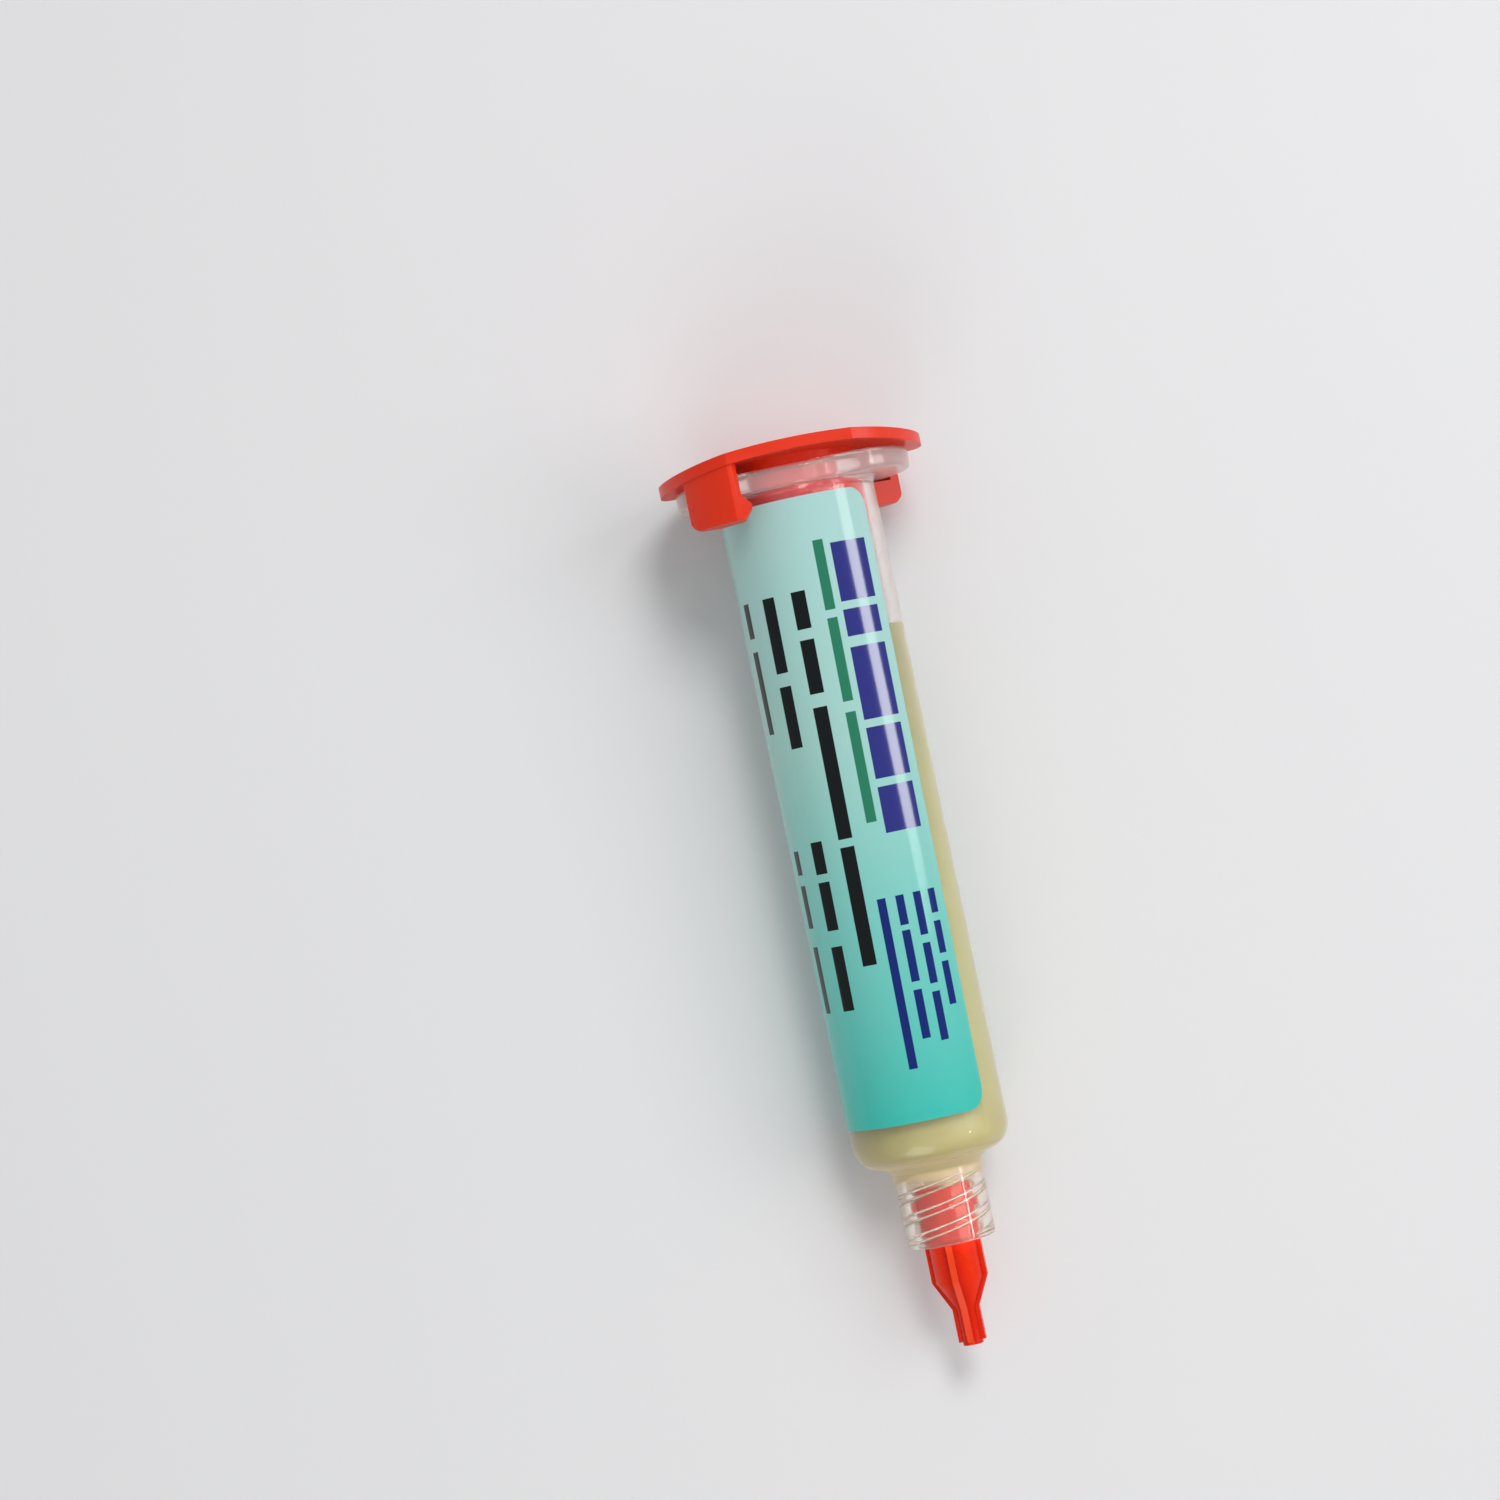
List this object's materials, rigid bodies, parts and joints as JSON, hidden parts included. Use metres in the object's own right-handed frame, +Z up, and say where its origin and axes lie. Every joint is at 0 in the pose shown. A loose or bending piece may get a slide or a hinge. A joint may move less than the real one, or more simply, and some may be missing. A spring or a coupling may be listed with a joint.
{
  "type": "flux syringe",
  "caption": "Clear dispensing syringe filled with flux paste, with a wrap label, a twist-on end cap over its finger flange and a ribbed tip cap in its threaded collar.",
  "frame": {"origin": "on the ground under the middle of the syringe as it lies", "axes": "+Y along the syringe towards its end cap, +Z up from the ground, +X to the right when seen from above with the end cap at the top"},
  "size_m": [0.031, 0.1068, 0.0274],
  "materials": {
    "clear_barrel": "natural translucent polypropylene, moulded gloss",
    "label_film": "printed film with a gloss coat",
    "flux_paste": "pale yellow gel",
    "end_cap_plastic": "orange-red polyethylene, satin",
    "tip_cap_plastic": "orange-red polyethylene, semi-gloss"
  },
  "bodies": {
    "syringe_barrel": {"barrel": "clear_barrel", "label": "label_film", "flux": "flux_paste"},
    "end_cap_body": {"end_cap": "end_cap_plastic"},
    "tip_cap_body": {"tip_cap": "tip_cap_plastic"}
  },
  "joints": [
    {"name": "end_cap_twist", "type": "hinge", "parent": "syringe_barrel", "child": "end_cap_body", "pos_m": [0, 0.05, 0.01362], "axis": [0, 0.9984, 0.0564], "range_deg": [0, 45]},
    {"name": "tip_cap_pull", "type": "slide", "parent": "syringe_barrel", "child": "tip_cap_body", "axis": [0, -0.9984, -0.0564], "range_m": [0, 0.014]}
  ]
}
